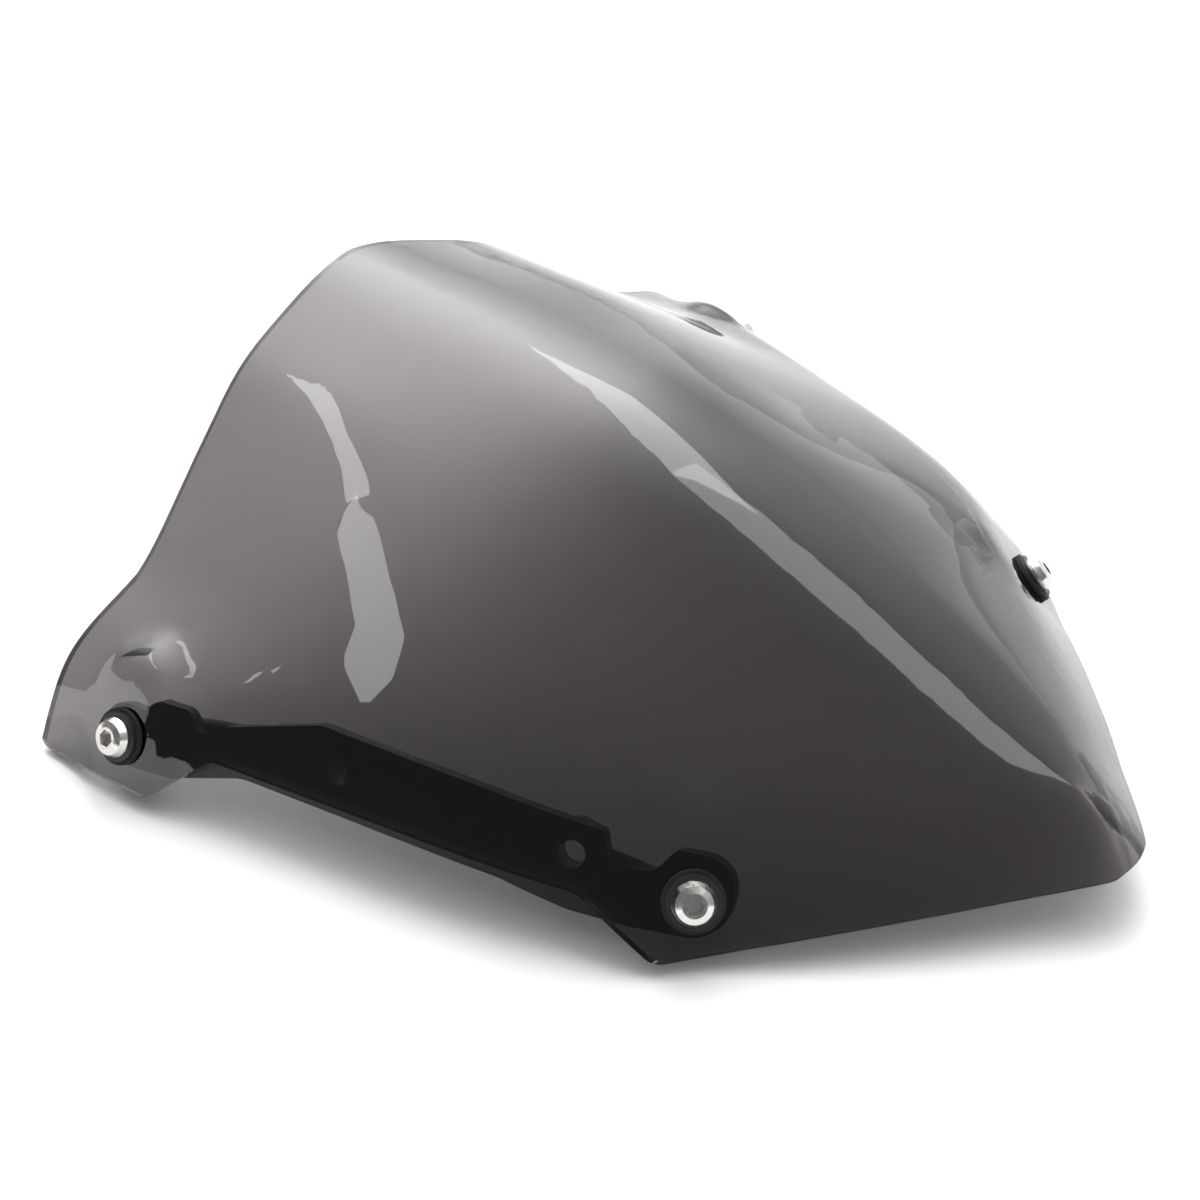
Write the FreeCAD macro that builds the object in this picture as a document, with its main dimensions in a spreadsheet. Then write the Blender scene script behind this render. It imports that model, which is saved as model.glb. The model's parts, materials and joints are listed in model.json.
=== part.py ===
import FreeCAD, Part
import math
import os
import re
import Sketcher
from FreeCAD import Placement, Rotation, Vector

# Motorcycle windshield screen: one clear tinted sheet on two moulded side brackets.
# +X is the rider's left, -Y is forward, +Z is up. The origin is the middle of the footprint.
# Sheet shapes are drawn from a datum in the middle of the two front screws, then moved
# by datum_y and datum_z to stand on the table.

DIMENSIONS = [
    ("datum_y", -61.83, "front screw line, behind the middle of the footprint"),
    ("datum_z", 15.69, "front screw line above the table"),
    ("sheet_thickness", 3.0, "clear sheet"),
    ("nose_radius", 4.0, "rounding of the nose seen from above"),
    ("fold_softness", 2.2, "rounding of the fold above the front screws"),
    ("ear_softness", 4.5, "rounding of the fold at the ears"),
    ("seat_radius", 8.5, "flat seat round each screw"),
    ("seat_blend", 12.0, "width of the ring that joins a seat to the sheet"),
    ("front_screw_x", 75.2, "front screws to the middle plane"),
    ("front_screw_y", 2.1, "front screws behind the datum"),
    ("rear_screw_x", 129.1, "rear screws to the middle plane"),
    ("rear_screw_y", 148.6, "rear screws behind the datum"),
    ("sheet_hole", 10.4, "holes in the sheet, diameter"),
    ("cut_length", 400.0, "length of the trimming tools"),
    ("screw_thread", 6.0, "M6 screws"),
    ("screw_length", 12.0, "under the head"),
    ("thread_chamfer", 0.6, "at the end of each screw"),
    ("head_diameter", 10.5, "button head"),
    ("head_height", 3.3, "button head"),
    ("head_flat", 5.8, "flat on top of the head, diameter"),
    ("hex_width", 4.0, "hexagon socket across the flats"),
    ("hex_depth", 2.0, "hexagon socket"),
    ("washer_diameter", 13.0, "nylon washer"),
    ("washer_bore", 6.4, "nylon washer"),
    ("washer_thickness", 1.0, "nylon washer"),
    ("grommet_flange", 15.0, "rubber grommet, flange diameter"),
    ("grommet_neck", 10.0, "rubber grommet, neck diameter"),
    ("grommet_bore", 6.6, "rubber grommet"),
    ("flange_thickness", 1.0, "rubber grommet, each flange"),
    ("sheet_gap", 0.1, "air between the sheet and what touches it"),
    ("insert_diameter", 8.0, "brass insert"),
    ("insert_length", 5.4, "brass insert"),
    ("insert_bore", 6.1, "brass insert, over the thread"),
    ("insert_groove", 7.2, "brass insert, groove diameter"),
    ("insert_fit", 0.04, "insert and collar pockets are this much larger"),
    ("bracket_gap", 4.4, "outer face of the sheet to the bracket"),
    ("bracket_thickness", 3.6, "bracket plate"),
    ("screw_boss_diameter", 13.0, "bracket boss behind each screw"),
    ("screw_boss_length", 6.2, "bracket boss behind each screw"),
    ("boss_sink", 1.0, "bosses start this far inside the bracket plate"),
    ("bolt_boss_diameter", 15.0, "bracket boss round each steel collar"),
    ("collar_diameter", 9.0, "steel collar"),
    ("collar_bore", 6.5, "steel collar, clears an M6 bolt"),
    ("collar_length", 10.0, "steel collar"),
    ("bead_radius", 3.6, "stiffening bead along the bracket"),
    ("bead_depth", 9.2, "outer face of the sheet to the middle of the bead"),
]

# Guide lines of the sheet, front to rear: (distance behind the datum, value).
CREST_HEIGHT = [(-78, 1), (-62, 8.5), (-45, 16), (-25, 25), (0, 36), (30, 47.5), (60, 57),
                (95, 64.5), (140, 69.3), (192, 70.9), (210, 71)]
RIDGE_HALF_WIDTH = [(-78, 2), (-60, 5.5), (-45, 9.5), (-25, 12), (0, 13.5), (40, 15),
                    (80, 16.5), (130, 18), (210, 18)]
RIDGE_DROP = [(-78, 0.4), (-60, 0.8), (-45, 1.2), (0, 2), (60, 2.4), (130, 2.5), (210, 2.5)]
FOLD_HALF_WIDTH = [(-78, -13.3), (-62, 3.7), (-50, 15.7), (-35, 30.7), (-18, 46.7), (0, 62.2),
                   (18, 77.5), (34, 87), (52, 94), (80, 103), (137, 121), (176, 128.8), (210, 134)]
FOLD_HEIGHT = [(-78, 7), (-62, 7.5), (-40, 9), (0, 10), (40, 13.5), (80, 13.8), (137, 11.9),
               (176, 6.1), (210, 3.1)]

# Outlines in the side plane, (towards the rear, up), with the corner radius of each point.
SIDE_NORMAL = Vector(-0.785, -0.268, 0.558)
HEM_OUTLINE = [(-140, -7, 0), (-66.2, -7, 0), (-66.2, -16.4, 11), (31.5, -56.8, 5), (51.5, -44.2, 9),
               (153, -40.6, 4), (172, -55.7, 4), (212.9, -53.6, 5), (213.6, -20, 0), (250, -20, 0),
               (250, -260, 0), (-140, -260, 0)]
BRACKET_OUTLINE = [(18.8, -50.2, 8.6), (18.8, -31, 8.6), (33.5, -30.8, 3), (37, -36.6, 3),
                   (47, -37.5, 2), (50, -30, 2), (88, -27, 20), (126, -25, 12), (152, -32, 14),
                   (160, -36.5, 4), (163.5, -31, 4.5), (174.5, -31, 4.5), (178, -34.5, 2),
                   (191.5, -33.5, 8), (191.5, -51, 8), (166, -49.5, 6), (146, -43.8, 14),
                   (72, -47, 10), (54, -49.8, 8), (40, -50.2, 5)]
# Trailing edge seen from above: (half width, distance behind the datum).
TRAILING_ARC_END = (60, 184.8)
TRAILING_MIDDLE = 192.3
WING_CORNER = (99, 176.8)

# Middle line of each bracket arm and its bolt holes, (half width, behind the datum).
BEAD_LINE = [(79.5, 9), (88.5, 28), (99.5, 58), (108.4, 89), (118, 120), (126.3, 142.5)]
BOLT_SEATS = [("front", 88.5, 28.0), ("rear", 108.4, 89.0)]

SPARE_CELL = "E1"

doc = FreeCAD.newDocument("windshield_screen")
sheet = doc.addObject("Spreadsheet::Sheet", "dims")


def fill_spreadsheet():
    """One row per dimension: name, value, note."""
    for row, (alias, value, note) in enumerate(DIMENSIONS, start=1):
        sheet.set(f"A{row}", alias)
        sheet.set(f"B{row}", str(value))
        sheet.set(f"C{row}", note)
        sheet.setAlias(f"B{row}", alias)
    doc.recompute()


def size(alias):
    """The spreadsheet's value of one dimension."""
    return float(getattr(sheet, alias))


# ---- The sheet's shape -------------------------------------------------------------------

def along(line, y):
    """Smooth value of a guide line at y (cubic through the stations)."""
    last = len(line) - 1
    i = max([k for k in range(last) if line[k][0] <= y], default=0)

    def slope(k):
        before = line[max(k - 1, 0)]
        after = line[min(k + 1, last)]
        return (after[1] - before[1]) / (after[0] - before[0])

    start, low = line[i]
    end, high = line[i + 1]
    span = end - start
    t = (y - start) / span
    return ((2 * t ** 3 - 3 * t ** 2 + 1) * low + (t ** 3 - 2 * t ** 2 + t) * slope(i) * span
            + (3 * t ** 2 - 2 * t ** 3) * high + (t ** 3 - t ** 2) * slope(i + 1) * span)


def ease(t):
    """0 below 0, 1 above 1, smooth between."""
    t = min(1.0, max(0.0, t))
    return t * t * (3 - 2 * t)


def ramp(value, softness):
    """Zero below 0, rising with slope 1 above, rounded by softness."""
    return (value + math.sqrt(value * value + 4 * softness * softness)) / 2


def roof_height(x, y):
    """Height of the two upper panels, with the domed crest and the flared rear wings."""
    half = abs(x)
    ridge = along(RIDGE_HALF_WIDTH, y)
    drop = along(RIDGE_DROP, y)
    crest = along(CREST_HEIGHT, y)
    run = max(along(FOLD_HALF_WIDTH, y) - ridge, 6)
    panel_slope = (crest - drop - along(FOLD_HEIGHT, y)) / run
    crown = ridge * 0.8
    top_slope = drop / (math.hypot(ridge, crown) - crown)
    softness = 1.2 + 9 * ease((y - 10) / 150)
    beyond = ramp(half - ridge, softness) - ramp(-ridge, softness)
    height = crest - top_slope * (math.hypot(x, crown) - crown) - (panel_slope - top_slope) * beyond
    flare = ease((y - 55) / 125)
    shoulder = 2.8 * math.exp(-((half - 48) / 17) ** 2)
    valley = 4.8 * math.exp(-((half - 95) / 19) ** 2)
    return height + flare * (shoulder - valley)


def skirt_height(x, y):
    """Height of the steep skirt below the fold, where the screws are."""
    half = math.hypot(x, size("nose_radius"))
    fold = along(FOLD_HALF_WIDTH, y)
    turn = along(FOLD_HALF_WIDTH, y + 0.5) - along(FOLD_HALF_WIDTH, y - 0.5)
    outside = (half - fold) / math.hypot(x / half, turn)
    slope = 1.27 + 0.55 * ease((y - 10) / 130)
    return along(FOLD_HEIGHT, y) - slope * outside


def free_height(x, y):
    """Roof and skirt joined by the soft fold."""
    roof = roof_height(x, y)
    skirt = skirt_height(x, y)
    softer = (size("ear_softness") - size("fold_softness")) * ease((y - 60) / 80)
    return (roof + skirt) / 2 - math.hypot((roof - skirt) / 2, size("fold_softness") + softer)


def slopes(x, y, reach):
    """Mean slopes of the sheet along X and Y, from reach before the point to reach after it."""
    along_x = (free_height(x + reach, y) - free_height(x - reach, y)) / (2 * reach)
    along_y = (free_height(x, y + reach) - free_height(x, y - reach)) / (2 * reach)
    return along_x, along_y


def screw_seats():
    """Name, x and y of the four screws; the right side is -X."""
    seats = []
    for side, sign in (("right", -1), ("left", 1)):
        for end in ("front", "rear"):
            seats.append((f"{end}_{side}", sign * size(f"{end}_screw_x"), size(f"{end}_screw_y")))
    return seats


def seat_plane(x, y):
    """Function of the flat plane that a screw at (x, y) sits on."""
    height = free_height(x, y)
    along_x, along_y = slopes(x, y, size("seat_radius"))
    return lambda px, py: height + along_x * (px - x) + along_y * (py - y)


def sheet_height(x, y):
    """The outer face, made flat round each screw."""
    height = free_height(x, y)
    for seat_x, seat_y, plane in SEAT_PLANES:
        radius = math.hypot(x - seat_x, y - seat_y)
        flat = 1 - ease((radius - size("seat_radius")) / size("seat_blend"))
        if flat > 0:
            height += flat * (plane(x, y) - height)
    return height


def outer_point(x, y):
    """Point of the outer face, in the part's own frame."""
    return Vector(x, y + size("datum_y"), sheet_height(x, y) + size("datum_z"))


def outer_normal(x, y):
    """Unit normal of the outer face, pointing out."""
    step = 0.05
    across = outer_point(x + step, y) - outer_point(x - step, y)
    back = outer_point(x, y + step) - outer_point(x, y - step)
    return across.cross(back).normalize()


def seat_placement(x, y):
    """Placement with +Z along the sheet's normal at (x, y)."""
    normal = outer_normal(x, y)
    level = Vector(0, 0, 1).cross(normal)
    return Placement(outer_point(x, y), Rotation(level, normal.cross(level), normal, "ZXY"))


def stations(first, last, step):
    """Evenly spaced values from first to last, about step apart."""
    count = max(1, round((last - first) / step))
    return [first + (last - first) * i / count for i in range(count + 1)]


def skin_surface(depth, grid):
    """Smooth face at a depth below the outer face; the grid holds rows of (x, y)."""
    rows = [[outer_point(x, y) - outer_normal(x, y) * depth for x, y in row] for row in grid]
    surface = Part.BSplineSurface()
    surface.interpolate(rows)
    return surface.toShape()


def skin_solid(top_depth, bottom_depth, grid):
    """Solid between two depths below the outer face, larger than the finished outline."""
    top = skin_surface(top_depth, grid)
    bottom = skin_surface(bottom_depth, grid)
    walls = []
    for upper in top.Edges:
        middle = upper.CenterOfMass
        lower = min(bottom.Edges, key=lambda edge: edge.CenterOfMass.distanceToPoint(middle))
        walls.append(Part.makeRuledSurface(upper, lower))
    shell = Part.makeShell([top, bottom] + walls)
    shell.sewShape()
    solid = Part.makeSolid(shell)
    if solid.Volume < 0:
        solid.reverse()
    return solid


# ---- Sketches, outlines and tools --------------------------------------------------------

def side_frame():
    """Placement of the right side plane: X runs to the rear, Y up, through the datum."""
    normal = Vector(SIDE_NORMAL).normalize()
    rearward = Vector(normal.y, -normal.x, 0).normalize()
    upward = rearward.cross(normal)
    origin = Vector(0, size("datum_y"), size("datum_z"))
    return Placement(origin, Rotation(rearward, upward, normal * -1, "ZXY"))


def corner_arc(before, corner, after, radius):
    """Start, middle and end of the arc that rounds a corner."""
    point = Vector(corner[0], corner[1], 0)
    to_before = (Vector(before[0], before[1], 0) - point).normalize()
    to_after = (Vector(after[0], after[1], 0) - point).normalize()
    half = to_before.getAngle(to_after) / 2
    reach = radius / math.tan(half)
    inward = (to_before + to_after).normalize()
    centre = point + inward * (radius / math.sin(half))
    return point + to_before * reach, centre - inward * radius, point + to_after * reach


def rounded_sketch(name, outline, placement):
    """Closed sketch through the outline's points, with each corner rounded."""
    sketch = doc.addObject("Sketcher::SketchObject", name)
    sketch.Placement = placement
    corners = []
    for i, (x, y, radius) in enumerate(outline):
        before = outline[i - 1]
        after = outline[(i + 1) % len(outline)]
        if radius:
            corners.append(corner_arc(before, (x, y), after, radius))
        else:
            corners.append((Vector(x, y, 0),) * 3)
    for i, (start, middle, end) in enumerate(corners):
        if start.distanceToPoint(end) > 1e-6:
            sketch.addGeometry(Part.Arc(start, middle, end))
        sketch.addGeometry(Part.LineSegment(end, corners[(i + 1) % len(corners)][0]))
    return sketch


def prism(name, sketch):
    """Solid tool: the sketch extruded along its normal."""
    tool = doc.addObject("Part::Extrusion", name)
    tool.Base = sketch
    tool.DirMode = "Normal"
    tool.Solid = True
    tool.Symmetric = True
    tool.setExpression("LengthFwd", "dims.cut_length")
    return tool


def boolean(kind, name, base, tool):
    """Part::Cut, Part::Common or Part::Fuse of two objects."""
    result = doc.addObject(f"Part::{kind}", name)
    result.Base = base
    result.Tool = tool
    result.Label = name
    return result


def mirrored(name, source):
    """Mirror image of an object in the middle plane."""
    twin = doc.addObject("Part::Mirroring", name)
    twin.Source = source
    twin.Normal = Vector(1, 0, 0)
    twin.Label = name
    return twin


def feature(name, shape):
    """Part::Feature holding a shape."""
    item = doc.addObject("Part::Feature", name)
    item.Shape = shape
    return item


def cylinder(name, radius, length, placement, depth):
    """Cylinder bound to cells, whose far end is at a depth below a seat."""
    item = doc.addObject("Part::Cylinder", name)
    item.setExpression("Radius", with_sheet_name(radius))
    item.setExpression("Height", with_sheet_name(length))
    item.Placement = placement.multiply(Placement(Vector(0, 0, -depth), Rotation()))
    return item


def joined(name, objects):
    """Part::MultiFuse of several objects."""
    result = doc.addObject("Part::MultiFuse", name)
    result.Shapes = objects
    return result


def origin_plane(body, role):
    """One of a body's own origin planes."""
    return next(item for item in body.Origin.OriginFeatures if item.Role == role)


def turned_body(name, profile):
    """Body turned about Z; the profile's points are pairs of expressions (radius, height)."""
    body = doc.addObject("PartDesign::Body", name)
    body.Label = name
    sketch = body.newObject("Sketcher::SketchObject", f"{name}_profile")
    sketch.AttachmentSupport = [(origin_plane(body, "XZ_Plane"), "")]
    sketch.MapMode = "FlatFace"
    points = [Vector(sheet_value(radius), sheet_value(height), 0) for radius, height in profile]
    for i, point in enumerate(points):
        sketch.addGeometry(Part.LineSegment(point, points[(i + 1) % len(points)]))
    for i in range(len(points)):
        sketch.addConstraint(Sketcher.Constraint("Coincident", i, 2, (i + 1) % len(points), 1))
    for i, (radius, height) in enumerate(profile):
        bind_point(sketch, i, "x", radius, points[i].x)
        bind_point(sketch, i, "y", height, points[i].y)
    turn = body.newObject("PartDesign::Revolution", f"{name}_turn")
    turn.Profile = sketch
    turn.ReferenceAxis = (sketch, ["V_Axis"])
    turn.Angle = 360
    doc.recompute()
    return body


def sheet_value(expression):
    """Value of a small sum of spreadsheet cells, read through a spare cell."""
    sheet.set(SPARE_CELL, f"={expression}")
    sheet.recompute()
    return float(sheet.get(SPARE_CELL))


def with_sheet_name(expression):
    """The expression with the spreadsheet's name before every cell alias."""
    return re.sub(r"[a-z_]+", lambda alias: f"dims.{alias.group()}", expression)


def bind_point(sketch, line, axis, expression, value):
    """Hold one coordinate of a line's start point at an expression."""
    if abs(value) < 1e-9:
        on_axis = -2 if axis == "x" else -1
        sketch.addConstraint(Sketcher.Constraint("PointOnObject", line, 1, on_axis))
        return
    kind = "DistanceX" if axis == "x" else "DistanceY"
    index = sketch.addConstraint(Sketcher.Constraint(kind, -1, 1, line, 1, value))
    sketch.setExpression(f"Constraints[{index}]", with_sheet_name(expression))


# ---- The sub-parts ------------------------------------------------------------------------

def make_screen():
    """Tinted sheet: a skin trimmed along the hem and the trailing edge, with four holes."""
    near = stations(0, 0.3, 0.03) + stations(0.3, 0.65, 0.05)[1:] + stations(0.65, 1, 0.04)[1:]
    across = [-u for u in reversed(near[1:])] + near
    ys = stations(-76, -46, 2.5) + stations(-46, 60, 5)[1:] + stations(60, 200, 7)[1:]
    grid = [[(u * (along(FOLD_HALF_WIDTH, y) + 30), y) for y in ys] for u in across]
    skin = feature("screen_skin", skin_solid(0, size("sheet_thickness"), grid))
    right_tool = prism("right_hem_tool", rounded_sketch("hem_outline", HEM_OUTLINE, side_frame()))
    left_tool = mirrored("left_hem_tool", right_tool)
    trailing_tool = prism("trailing_tool", trailing_sketch())
    holes = []
    for name, x, y in screw_seats():
        depth = size("sheet_thickness") * 2
        holes.append(cylinder(f"{name}_hole", "sheet_hole / 2", "sheet_thickness * 4",
                              seat_placement(x, y), depth))
    tools = joined("screen_tools", [right_tool, left_tool, trailing_tool] + holes)
    return boolean("Cut", "screen", skin, tools)


def trailing_sketch():
    """Region behind the trailing edge, seen from above."""
    sketch = doc.addObject("Sketcher::SketchObject", "trailing_outline")
    sketch.Placement = Placement(Vector(0, size("datum_y"), 0), Rotation())
    half, end = TRAILING_ARC_END
    wing, wing_end = WING_CORNER
    left_end = Vector(half, end, 0)
    right_end = Vector(-half, end, 0)
    sketch.addGeometry(Part.Arc(left_end, Vector(0, TRAILING_MIDDLE, 0), right_end))
    rim = [right_end, Vector(-wing, wing_end, 0), Vector(-190, wing_end, 0), Vector(-190, 260, 0),
           Vector(190, 260, 0), Vector(190, wing_end, 0), Vector(wing, wing_end, 0), left_end]
    for start, stop in zip(rim, rim[1:]):
        sketch.addGeometry(Part.LineSegment(start, stop))
    return sketch


def make_right_bracket():
    """Moulded bracket: plate along the sheet, bosses at the screws and bolts, stiffening bead."""
    ys = stations(-16, 174, 5)
    grid = [[(-along(FOLD_HALF_WIDTH, y) - out, y) for y in ys] for out in stations(-22, 26, 3)]
    gap = size("bracket_gap")
    skin = feature("bracket_skin", skin_solid(gap, gap + size("bracket_thickness"), grid))
    outline = prism("bracket_tool", rounded_sketch("bracket_outline", BRACKET_OUTLINE, side_frame()))
    solids = [boolean("Common", "bracket_plate", skin, outline), bracket_bead()]
    pockets = []
    for name, x, y in screw_seats()[:2]:
        seat = seat_placement(x, y)
        end = gap + size("screw_boss_length")
        solids.append(cylinder(f"{name}_boss", "screw_boss_diameter / 2",
                               "screw_boss_length - boss_sink", seat, end))
        pockets.append(cylinder(f"{name}_pocket", "(insert_diameter + insert_fit) / 2",
                                "insert_length + bracket_gap", seat, gap + size("insert_length")))
        pockets.append(cylinder(f"{name}_clearance", "grommet_bore / 2", "screw_boss_length * 2",
                                seat, end + 1))
    for name, x, y in BOLT_SEATS:
        seat = seat_placement(-x, y)
        end = gap + size("collar_length")
        solids.append(cylinder(f"{name}_bolt_boss", "bolt_boss_diameter / 2",
                               "collar_length - boss_sink", seat, end))
        pockets.append(cylinder(f"{name}_bolt_pocket", "(collar_diameter + insert_fit) / 2",
                                "collar_length * 2", seat, end + 1))
    body = joined("bracket_body", solids)
    return boolean("Cut", "right_bracket", body, joined("bracket_pockets", pockets))


def bracket_bead():
    """Round bead along the inner side of the plate."""
    depth = size("bead_depth")
    points = [outer_point(-x, y) - outer_normal(-x, y) * depth for x, y in BEAD_LINE]
    path = Part.BSplineCurve()
    path.interpolate(points)
    wire = Part.Wire(path.toShape())
    start_way = path.tangent(path.FirstParameter)[0]
    profile = Part.Wire(Part.makeCircle(size("bead_radius"), points[0], start_way))
    return feature("bracket_bead", wire.makePipeShell([profile], True, True))


def make_screw(name, seat):
    """M6 button-head screw with a hexagon socket."""
    under = "sheet_gap + flange_thickness + washer_thickness"
    top = f"{under} + head_height"
    rim = f"{under} + head_height * 0.25"
    shoulder = f"{under} + head_height * 0.78"
    body = turned_body(name, [("0", f"{under} - screw_length"),
                              ("screw_thread / 2 - thread_chamfer", f"{under} - screw_length"),
                              ("screw_thread / 2", f"{under} - screw_length + thread_chamfer"),
                              ("screw_thread / 2", under),
                              ("head_diameter / 2", under),
                              ("head_diameter / 2", rim),
                              ("head_diameter * 0.42", shoulder),
                              ("head_flat / 2", top),
                              ("0", top)])
    socket = body.newObject("Sketcher::SketchObject", f"{name}_hexagon")
    socket.AttachmentSupport = [(origin_plane(body, "XY_Plane"), "")]
    socket.MapMode = "FlatFace"
    socket.setExpression(".AttachmentOffset.Base.z", with_sheet_name(top))
    radius = size("hex_width") / math.sqrt(3)
    corners = [Rotation(Vector(0, 0, 1), 60 * i).multVec(Vector(radius, 0, 0)) for i in range(6)]
    for i in range(6):
        socket.addGeometry(Part.LineSegment(corners[i], corners[(i + 1) % 6]))
    pocket = body.newObject("PartDesign::Pocket", f"{name}_socket")
    pocket.Profile = socket
    pocket.setExpression("Length", "dims.hex_depth")
    body.Tip = pocket
    body.Placement = seat
    return body


def make_washer(name, seat):
    """Black nylon washer under the screw's head."""
    low = "sheet_gap + flange_thickness"
    high = f"{low} + washer_thickness"
    body = turned_body(name, [("washer_bore / 2", low), ("washer_diameter / 2", low),
                              ("washer_diameter / 2", high), ("washer_bore / 2", high)])
    body.Placement = seat
    return body


def make_grommet(name, seat):
    """Rubber grommet that carries the sheet: two flanges and a neck in the hole."""
    inner = "sheet_thickness * -1 - sheet_gap"
    outer = "sheet_gap"
    body = turned_body(name, [("grommet_bore / 2", f"{inner} - flange_thickness"),
                              ("grommet_flange / 2", f"{inner} - flange_thickness"),
                              ("grommet_flange / 2", inner),
                              ("grommet_neck / 2", inner),
                              ("grommet_neck / 2", outer),
                              ("grommet_flange / 2", outer),
                              ("grommet_flange / 2", f"{outer} + flange_thickness"),
                              ("grommet_bore / 2", f"{outer} + flange_thickness")])
    body.Placement = seat
    return body


def make_insert(name, seat):
    """Brass threaded insert in the bracket's boss, with a groove that keeps it in."""
    top = "bracket_gap * -1"
    bottom = f"{top} - insert_length"
    body = turned_body(name, [("insert_bore / 2", bottom),
                              ("insert_diameter / 2", bottom),
                              ("insert_diameter / 2", f"{bottom} + insert_length * 0.4"),
                              ("insert_groove / 2", f"{bottom} + insert_length * 0.4"),
                              ("insert_groove / 2", f"{bottom} + insert_length * 0.6"),
                              ("insert_diameter / 2", f"{bottom} + insert_length * 0.6"),
                              ("insert_diameter / 2", top),
                              ("insert_bore / 2", top)])
    body.Placement = seat
    return body


def make_collar(name, seat):
    """Steel collar in the bracket's bolt hole."""
    top = "bracket_gap * -1"
    bottom = f"{top} - collar_length"
    body = turned_body(name, [("collar_bore / 2", bottom), ("collar_diameter / 2", bottom),
                              ("collar_diameter / 2", top), ("collar_bore / 2", top)])
    body.Placement = seat
    return body


def make_all():
    """Every sub-part of the assembly."""
    made = []
    for name, x, y in screw_seats():
        seat = seat_placement(x, y)
        made.append(make_screw(f"{name}_screw", seat))
        made.append(make_washer(f"{name}_washer", seat))
        made.append(make_grommet(f"{name}_grommet", seat))
        made.append(make_insert(f"{name}_insert", seat))
    for side, sign in (("right", -1), ("left", 1)):
        for name, x, y in BOLT_SEATS:
            made.append(make_collar(f"{name}_{side}_collar", seat_placement(sign * x, y)))
    sheet.clear(SPARE_CELL)
    right_bracket = make_right_bracket()
    return made + [right_bracket, mirrored("left_bracket", right_bracket), make_screen()]


def export(made):
    """Check every object, then write one STEP file per sub-part."""
    doc.recompute()
    for item in doc.Objects:
        if "Invalid" in item.State or "Error" in item.State:
            raise RuntimeError(f"{item.Label}: {item.State}")
    os.makedirs("parts", exist_ok=True)
    for part in made:
        if part.Shape.isNull() or not part.Shape.isValid():
            raise RuntimeError(f"{part.Label} has no valid shape")
        part.Shape.exportStep(f"parts/{part.Label}.step")
        box = part.Shape.BoundBox
        print(part.Label, len(part.Shape.Solids), round(part.Shape.Volume, 1), box)


fill_spreadsheet()
SEAT_PLANES = [(x, y, seat_plane(x, y)) for _, x, y in screw_seats()]
export(make_all())
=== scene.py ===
import json
import math

import bmesh
import bpy
from mathutils import Matrix, Vector


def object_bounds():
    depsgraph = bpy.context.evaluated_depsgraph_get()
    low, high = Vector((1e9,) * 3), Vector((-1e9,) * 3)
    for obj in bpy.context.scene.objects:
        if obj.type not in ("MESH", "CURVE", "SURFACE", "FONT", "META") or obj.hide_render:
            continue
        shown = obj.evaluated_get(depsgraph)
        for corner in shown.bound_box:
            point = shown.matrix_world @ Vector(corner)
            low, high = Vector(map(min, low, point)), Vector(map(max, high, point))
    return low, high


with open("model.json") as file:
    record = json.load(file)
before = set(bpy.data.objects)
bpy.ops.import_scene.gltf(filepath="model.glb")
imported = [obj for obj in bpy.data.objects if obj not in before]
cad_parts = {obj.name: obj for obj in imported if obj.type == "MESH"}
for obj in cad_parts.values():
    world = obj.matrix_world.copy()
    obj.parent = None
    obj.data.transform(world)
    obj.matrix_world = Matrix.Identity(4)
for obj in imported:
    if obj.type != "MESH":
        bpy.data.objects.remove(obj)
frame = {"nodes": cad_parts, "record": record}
cad_low, cad_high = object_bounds()

# Motorcycle windshield screen: a smoke-tinted sheet on two black side brackets.
# Metres, +X is the rider's left, -Y is forward, +Z is up, and the part stands on z = 0.

# ---- Driving values ----------------------------------------------------------------------

SHEET_IOR = 1.49
SHEET_WALL = 0.003
SHEET_PASSES = (0.22, 0.203, 0.206)   # share of red, green and blue light that one wall lets through

PAPER_COLOUR = (0.9, 0.9, 0.9)
FLOOR_GAP = 0.0003                    # the paper stays this far under the part
FLOOR_RADIUS = 5.0                    # flat out to here, then curved up to a low rim
FLOOR_SEGMENTS = 96
RIM_BEND = 1.4                        # radius of that curve
RIM_TURN = 60.0                       # degrees that it turns through
RIM_STEPS = 12
RIM_LIGHT = 0.7                       # brightness of the lamps behind the rim

# Soft bright areas of the studio room: direction, brightness and how fast it fades.
CEILING_GLOW = ((0.42, 0.6, 0.68), 5.6, 9.0)
FAR_WALL_GLOW = ((0.85, -0.1, 0.5), 1.1, 2.0)
ROOM_GLOW = 0.2                       # brightness of the rest of the room

# Softboxes: the two ends of the middle line, width and brightness.
STRIP_HEIGHT = 1.3
WINDOW_HEIGHT = 1.095
SOFTBOXES = {
    "front_strip": ((0.47, -0.85, STRIP_HEIGHT), (0.47, 0.2, STRIP_HEIGHT), 0.4, 3.2),
    "rear_strip": ((0.45, 0.05, STRIP_HEIGHT), (0.96, 0.68, STRIP_HEIGHT), 0.44, 4.6),
    "rear_window": ((-0.53, 0.7, WINDOW_HEIGHT), (-0.1, 1.05, WINDOW_HEIGHT), 0.1, 5.0),
    "side_window": ((-0.64, 0.54, WINDOW_HEIGHT), (-0.58, 0.74, WINDOW_HEIGHT), 0.1, 4.5),
}

CAMERA_AT = (-0.24875, -0.19978, 0.29161)
CAMERA_HEADING = -46.445              # degrees anticlockwise from +Y, seen from above
CAMERA_TILT = 50.006                  # degrees up from straight down
CAMERA_ROLL = -2.627                  # degrees about the line of sight
CAMERA_LENS = 45.88                   # focal length and sensor width, in millimetres
CAMERA_SENSOR = 36.0
CAMERA_NEAR = 0.01


# ---- Node helpers ------------------------------------------------------------------------

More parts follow.
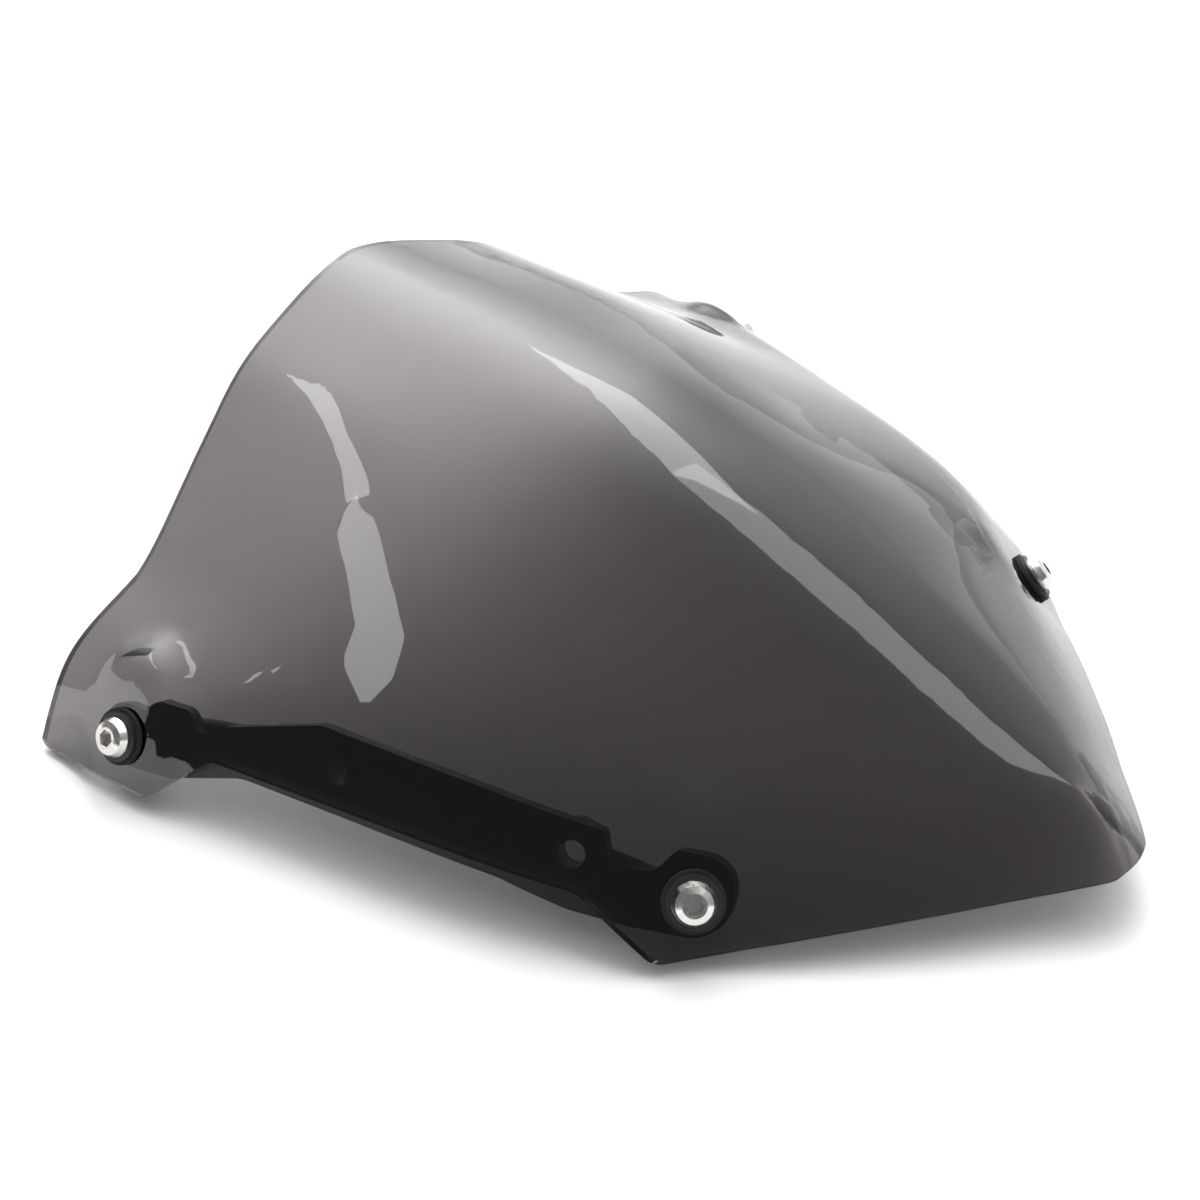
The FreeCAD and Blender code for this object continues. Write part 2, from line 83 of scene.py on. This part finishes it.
def new_material(name):
    """Empty node material; returns the material, its tree and the output node."""
    material = bpy.data.materials.new(name)
    material.use_nodes = True
    tree = material.node_tree
    tree.nodes.clear()
    return material, tree, tree.nodes.new("ShaderNodeOutputMaterial")


def principled(tree, output, **sockets):
    """Principled shader with plain values on its sockets; words_like_this name the sockets."""
    shader = tree.nodes.new("ShaderNodeBsdfPrincipled")
    for name, value in sockets.items():
        words = [word if word.isupper() else word.capitalize() for word in name.split("_")]
        colour = isinstance(value, tuple)
        shader.inputs[" ".join(words)].default_value = (*value, 1.0) if colour else value
    tree.links.new(shader.outputs["BSDF"], output.inputs["Surface"])
    return shader


def noise(tree, scale, detail, stretch=(1.0, 1.0, 1.0)):
    """Noise that follows the piece's own coordinates, in metres; scale is waves per metre."""
    place = tree.nodes.new("ShaderNodeTexCoord")
    mapping = tree.nodes.new("ShaderNodeMapping")
    mapping.inputs["Scale"].default_value = stretch
    texture = tree.nodes.new("ShaderNodeTexNoise")
    texture.inputs["Scale"].default_value = scale
    texture.inputs["Detail"].default_value = detail
    tree.links.new(place.outputs["Object"], mapping.inputs["Vector"])
    tree.links.new(mapping.outputs["Vector"], texture.inputs["Vector"])
    return texture.outputs["Fac"]


def spread(tree, value, low, high, start=0.0, end=1.0):
    """Maps a value between start and end to low and high, and stops there."""
    node = tree.nodes.new("ShaderNodeMapRange")
    node.inputs["From Min"].default_value = start
    node.inputs["From Max"].default_value = end
    node.inputs["To Min"].default_value = low
    node.inputs["To Max"].default_value = high
    tree.links.new(value, node.inputs["Value"])
    return node.outputs["Result"]


def vary_colour(tree, shader, value, first, second):
    """Base colour between two colours."""
    node = tree.nodes.new("ShaderNodeMix")
    node.data_type = "RGBA"
    tree.links.new(value, node.inputs["Factor"])
    node.inputs["A"].default_value = (*first, 1.0)
    node.inputs["B"].default_value = (*second, 1.0)
    tree.links.new(node.outputs["Result"], shader.inputs["Base Color"])


def vary_roughness(tree, shader, value, low, high, start=0.0, end=1.0):
    """Roughness between low and high."""
    tree.links.new(spread(tree, value, low, high, start, end), shader.inputs["Roughness"])


def bump(tree, shader, height, strength, distance):
    """Fine relief on the shader's normal."""
    node = tree.nodes.new("ShaderNodeBump")
    node.inputs["Strength"].default_value = strength
    node.inputs["Distance"].default_value = distance
    tree.links.new(height, node.inputs["Height"])
    tree.links.new(node.outputs["Normal"], shader.inputs["Normal"])


# ---- Materials ---------------------------------------------------------------------------

# In the sheet, the metals and the nylon, a colour or roughness that nodes then vary keeps a plain value
# too, for viewers that read no nodes.

def tinted_sheet():
    """Clear smoke-grey sheet: polished faces, faint forming ripples and handling haze."""
    material, tree, output = new_material("smoke_sheet")
    shader = principled(tree, output, base_color=(1.0, 1.0, 1.0), transmission_weight=1.0,
                        IOR=SHEET_IOR, roughness=0.012)
    haze = noise(tree, scale=60.0, detail=1.0)
    vary_roughness(tree, shader, haze, low=0.004, high=0.02, start=0.35, end=0.75)
    bump(tree, shader, noise(tree, scale=14.0, detail=1.0), strength=0.05, distance=0.001)
    tint = tree.nodes.new("ShaderNodeVolumeAbsorption")
    losses = [-math.log(share) / SHEET_WALL for share in SHEET_PASSES]
    density = 2 * max(losses)
    tint.inputs["Color"].default_value = (*[1 - loss / density for loss in losses], 1.0)
    tint.inputs["Density"].default_value = density
    tree.links.new(tint.outputs["Volume"], output.inputs["Volume"])
    return material


def bracket_plastic():
    """Black moulded plastic with a fine grain and slightly polished high spots."""
    material, tree, output = new_material("black_moulded_plastic")
    shader = principled(tree, output, specular_IOR_level=0.5)
    wear = noise(tree, scale=35.0, detail=5.0)
    vary_colour(tree, shader, wear, (0.008, 0.008, 0.009), (0.02, 0.02, 0.021))
    vary_roughness(tree, shader, wear, low=0.28, high=0.5)
    bump(tree, shader, noise(tree, scale=2600.0, detail=2.0), strength=0.25, distance=0.00008)
    return material


def machined_metal(name, colour, smooth, rough):
    """Turned or plated metal with fine tool marks; smooth and rough bound its roughness."""
    material, tree, output = new_material(name)
    shader = principled(tree, output, base_color=colour, metallic=1.0, roughness=smooth)
    marks = noise(tree, scale=900.0, detail=3.0, stretch=(1.0, 0.2, 1.0))
    dull = tuple(channel * 0.8 for channel in colour)
    vary_colour(tree, shader, marks, dull, colour)
    vary_roughness(tree, shader, marks, low=smooth, high=rough, start=0.3, end=0.7)
    bump(tree, shader, marks, strength=0.15, distance=0.00003)
    return material


def black_rubber():
    """Matt black rubber with a dusty bloom."""
    material, tree, output = new_material("moulded_rubber")
    shader = principled(tree, output, specular_IOR_level=0.3)
    bloom = noise(tree, scale=180.0, detail=4.0)
    vary_colour(tree, shader, bloom, (0.010, 0.010, 0.010), (0.032, 0.031, 0.030))
    vary_roughness(tree, shader, bloom, low=0.65, high=0.9)
    bump(tree, shader, noise(tree, scale=1500.0, detail=2.0), strength=0.3, distance=0.00006)
    return material


def black_nylon():
    """Smooth black nylon with faint turning marks."""
    material, tree, output = new_material("turned_nylon")
    shader = principled(tree, output, base_color=(0.014, 0.014, 0.015), roughness=0.45)
    marks = noise(tree, scale=700.0, detail=3.0)
    vary_roughness(tree, shader, marks, low=0.35, high=0.6)
    bump(tree, shader, marks, strength=0.2, distance=0.00004)
    return material


def white_paper(name, light_behind):
    """Plain white studio paper, with or without lamps behind it."""
    material, tree, output = new_material(name)
    principled(tree, output, base_color=PAPER_COLOUR, roughness=0.9, specular_IOR_level=0.1,
               emission_color=PAPER_COLOUR, emission_strength=light_behind)
    return material


# ---- The part ----------------------------------------------------------------------------

def dress_frame():
    """Give each CAD node the finish of its slot."""
    finishes = {
        "tinted_sheet": tinted_sheet(),
        "bracket_plastic": bracket_plastic(),
        "stainless_steel": machined_metal("bright_stainless", (0.72, 0.70, 0.68), smooth=0.16, rough=0.3),
        "plated_steel": machined_metal("black_zinc_plate", (0.10, 0.10, 0.11), smooth=0.28, rough=0.42),
        "brass": machined_metal("turned_brass", (0.78, 0.58, 0.27), smooth=0.22, rough=0.36),
        "black_rubber": black_rubber(),
        "black_nylon": black_nylon(),
    }
    slots = {part["node"]: part["material_slot"] for part in frame["record"]["subparts"]}
    for name, node in frame["nodes"].items():
        node.material_slots[0].material = finishes[slots[name]]


# ---- Studio ------------------------------------------------------------------------------

def floor_profile():
    """Radius and height of the paper's points, from its middle to the top of the rim."""
    profile = [(0.0, 0.0), (FLOOR_RADIUS, 0.0)]
    for step in range(1, RIM_STEPS + 1):
        turn = math.radians(RIM_TURN) * step / RIM_STEPS
        profile.append((FLOOR_RADIUS + RIM_BEND * math.sin(turn), RIM_BEND * (1 - math.cos(turn))))
    return profile


def floor_mesh():
    """The paper's profile spun round the upright axis; the rim has the second material."""
    level = cad_low.z - FLOOR_GAP
    mesh = bmesh.new()
    points = [mesh.verts.new((radius, 0.0, level + height)) for radius, height in floor_profile()]
    edges = [mesh.edges.new(pair) for pair in zip(points, points[1:])]
    bmesh.ops.spin(mesh, geom=points + edges, axis=(0, 0, 1), cent=(0, 0, 0),
                   angle=math.tau, steps=FLOOR_SEGMENTS, use_merge=True)
    bmesh.ops.remove_doubles(mesh, verts=mesh.verts, dist=0.0001)
    bmesh.ops.recalc_face_normals(mesh, faces=mesh.faces)
    for face in mesh.faces:
        face.smooth = True
        face.material_index = int(face.calc_center_median().z > cad_low.z)
    data = bpy.data.meshes.new("floor")
    mesh.to_mesh(data)
    mesh.free()
    return data


def make_floor():
    """White paper under the part, curved up to a low rim all round."""
    floor = bpy.data.objects.new("floor", floor_mesh())
    bpy.context.scene.collection.objects.link(floor)
    floor.data.materials.append(white_paper("studio_paper", light_behind=0.0))
    floor.data.materials.append(white_paper("backlit_paper", light_behind=RIM_LIGHT))


def put(name, data, at, turn):
    """New object at a place, turned by a rotation matrix."""
    item = bpy.data.objects.new(name, data)
    item.matrix_world = Matrix.Translation(at) @ turn.to_4x4()
    bpy.context.scene.collection.objects.link(item)
    return item


def softbox(name, start, end, width, radiance):
    """Area light along the line from start to end, facing the part."""
    start, end = Vector(start), Vector(end)
    middle = (start + end) / 2
    facing = (middle - Vector((0, 0, cad_high.z / 2))).normalized()
    across = (end - start).cross(facing).normalized()
    lamp = bpy.data.lights.new(name, "AREA")
    lamp.shape = "RECTANGLE"
    lamp.size = width
    lamp.size_y = (end - start).length
    lamp.energy = radiance * math.pi * lamp.size * lamp.size_y
    put(name, lamp, middle, Matrix((across, facing.cross(across), facing)).transposed())


def make_lights():
    """Two overhead strips along the crest and two small windows behind the part."""
    for name, box in SOFTBOXES.items():
        softbox(name, *box)


def glow(tree, view, direction, rise, fall, low):
    """Brightness of the room round a soft bright area: low, and up to rise more in its direction."""
    towards = tree.nodes.new("ShaderNodeVectorMath")
    towards.operation = "DOT_PRODUCT"
    towards.inputs[1].default_value = Vector(direction).normalized()
    tree.links.new(view, towards.inputs[0])
    fade = tree.nodes.new("ShaderNodeMath")
    fade.operation = "POWER"
    fade.inputs[1].default_value = fall
    tree.links.new(spread(tree, towards.outputs["Value"], 0.0, 1.0), fade.inputs[0])
    return spread(tree, fade.outputs["Value"], low, low + rise)


def make_world():
    """Studio room: a bright ceiling area behind the part and a pale wall on its far side."""
    world = bpy.data.worlds.new("studio")
    world.use_nodes = True
    tree = world.node_tree
    room = tree.nodes["Background"]
    room.inputs["Color"].default_value = (1.0, 1.0, 1.0, 1.0)
    view = tree.nodes.new("ShaderNodeTexCoord").outputs["Generated"]
    total = tree.nodes.new("ShaderNodeMath")
    tree.links.new(glow(tree, view, *CEILING_GLOW, low=0.0), total.inputs[0])
    tree.links.new(glow(tree, view, *FAR_WALL_GLOW, low=ROOM_GLOW), total.inputs[1])
    tree.links.new(total.outputs["Value"], room.inputs["Strength"])
    bpy.context.scene.world = world


def make_camera():
    """Camera in front of the part's right side, looking down at it."""
    lens = bpy.data.cameras.new("camera")
    lens.lens = CAMERA_LENS
    lens.sensor_width = CAMERA_SENSOR
    lens.clip_start = CAMERA_NEAR
    heading = Matrix.Rotation(math.radians(CAMERA_HEADING), 3, "Z")
    tilt = Matrix.Rotation(math.radians(CAMERA_TILT), 3, "X")
    roll = Matrix.Rotation(math.radians(CAMERA_ROLL), 3, "Z")
    bpy.context.scene.camera = put("camera", lens, CAMERA_AT, heading @ tilt @ roll)


make_floor()
dress_frame()
make_world()
make_lights()
make_camera()
bpy.context.scene.view_settings.view_transform = "Standard"
